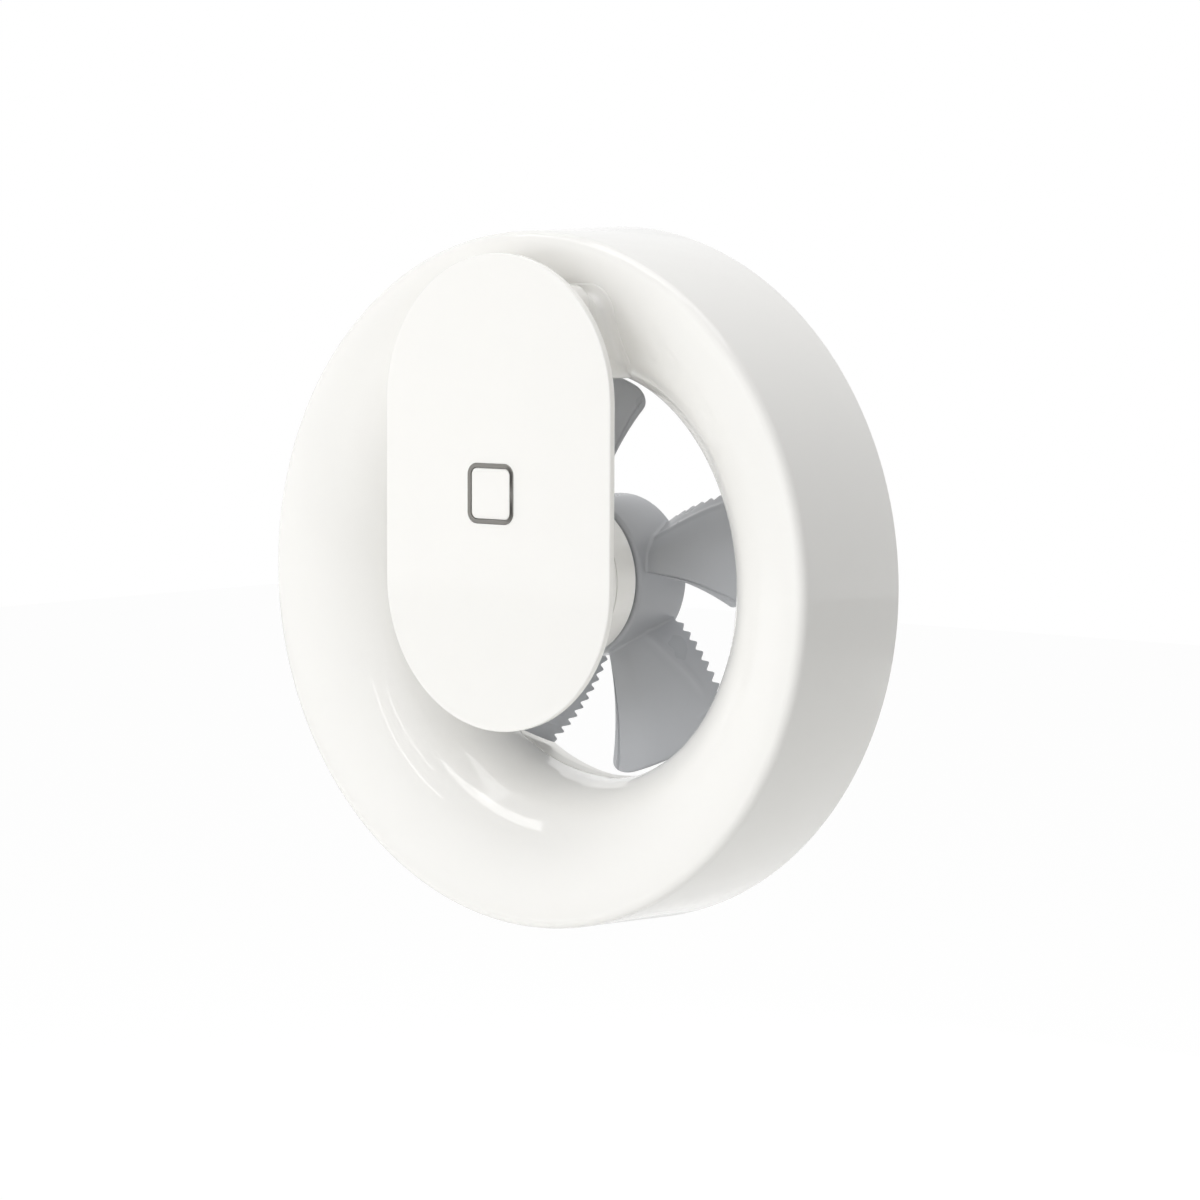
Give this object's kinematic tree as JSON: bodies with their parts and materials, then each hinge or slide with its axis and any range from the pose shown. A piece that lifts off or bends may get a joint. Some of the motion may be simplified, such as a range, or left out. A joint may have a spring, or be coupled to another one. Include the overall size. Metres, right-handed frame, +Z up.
{
  "type": "bathroom extractor fan",
  "caption": "Round wall-mounted extractor fan for a duct: a bell-mouthed white ring, a stadium-shaped cover plate with a framed button, and a grey saw-toothed impeller.",
  "frame": {"origin": "centre of the fan's axis on the plane of the wall, at the back of the wall plate", "axes": "+Y along the fan's axis into the wall and the duct, the front faces -Y, +Z up, +X to the right seen from the front"},
  "size_m": [0.204, 0.0653, 0.204],
  "materials": {
    "gloss_white": "glossy moulded ABS, warm white",
    "satin_white": "satin moulded ABS, warm white",
    "blade_grey": "satin moulded polypropylene, mid grey",
    "chrome": "bright chrome plating",
    "steel": "zinc-plated steel",
    "brass": "turned brass",
    "copper": "enamelled copper winding",
    "core_steel": "stacked electrical steel",
    "ferrite": "sintered ferrite, matt",
    "board_green": "glass epoxy board with green solder mask",
    "chip_black": "moulded black epoxy",
    "rubber": "matt rubber",
    "foam": "closed-cell foam",
    "blue_sleeve": "shrink sleeve, blue",
    "connector_white": "moulded nylon, off-white"
  },
  "bodies": {
    "housing": {"outer_ring": "gloss_white", "wall_plate": "satin_white", "wall_gasket": "foam", "collar_seal": "rubber", "ring_screw_1": "steel", "ring_screw_2": "steel", "ring_screw_3": "steel", "ring_screw_4": "steel", "control_housing": "gloss_white", "housing_screw_1": "steel", "housing_screw_2": "steel", "motor_rear_cap": "satin_white", "stator_core": "core_steel", "stator_coil_1": "copper", "stator_coil_2": "copper", "stator_coil_3": "copper", "stator_coil_4": "copper", "stator_coil_5": "copper", "stator_coil_6": "copper", "motor_board": "board_green", "front_bearing": "steel", "rear_bearing": "steel", "control_board": "board_green", "board_screw_1": "steel", "board_screw_2": "steel", "board_screw_3": "steel", "board_screw_4": "steel", "switch_body": "chip_black", "microcontroller": "chip_black", "wireless_module": "steel", "humidity_sensor": "connector_white", "light_sensor": "chip_black", "motor_plug": "connector_white", "supply_plug": "connector_white", "power_board": "board_green", "power_board_screw_1": "steel", "power_board_screw_2": "steel", "transformer": "ferrite", "capacitor": "blue_sleeve", "terminal_block": "connector_white", "terminal_screw_1": "brass", "terminal_screw_2": "brass", "terminal_screw_3": "brass", "cable_grommet": "rubber", "cable_clamp": "satin_white", "clamp_screw_1": "steel", "clamp_screw_2": "steel", "supply_lead": "rubber", "motor_lead": "rubber"},
    "impeller_unit": {"impeller": "blade_grey", "impeller_bush": "brass", "impeller_clip": "steel", "motor_shaft": "steel", "rotor_core": "core_steel", "rotor_magnet": "ferrite"},
    "cover": {"cover_plate": "gloss_white", "button_frame": "chrome"},
    "button": {"push_button": "gloss_white"},
    "plunger": {"switch_plunger": "chip_black"}
  },
  "joints": [
    {"name": "impeller_spin", "type": "hinge", "parent": "housing", "child": "impeller_unit", "pos_m": [0, 0, 0], "axis": [0, 1, 0], "continuous": true},
    {"name": "cover_pull", "type": "slide", "parent": "housing", "child": "cover", "axis": [0, -1, 0], "range_m": [0, 0.025]},
    {"name": "button_press", "type": "slide", "parent": "cover", "child": "button", "axis": [0, 1, 0], "range_m": [0, 0.0005], "stiffness_N_per_m": 1500},
    {"name": "switch_press", "type": "slide", "parent": "housing", "child": "plunger", "axis": [0, 1, 0], "range_m": [0, 0.0005]}
  ],
  "couplings": [
    {"joint": "switch_press", "follows": "button_press", "ratio": 1}
  ]
}
